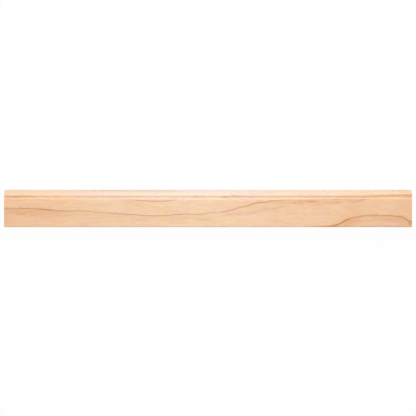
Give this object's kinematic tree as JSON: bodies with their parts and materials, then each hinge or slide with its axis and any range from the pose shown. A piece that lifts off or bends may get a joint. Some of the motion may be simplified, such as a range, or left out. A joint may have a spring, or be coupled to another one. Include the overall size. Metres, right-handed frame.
{
  "type": "bead moulding",
  "caption": "Straight length of planed maple trim with a quarter-round bead and a quirk along one long edge, flat on the back and ends.",
  "frame": {"origin": "middle of the flat back, which lies on the floor", "axes": "+X along the stock, +Y across the face towards the bead edge, +Z out of the moulded face"},
  "size_m": [0.415, 0.0382, 0.0191],
  "materials": {
    "maple": "planed and sanded bare maple, sawn ends"
  },
  "bodies": {
    "root": {"bead_moulding": "maple"}
  },
  "joints": []
}
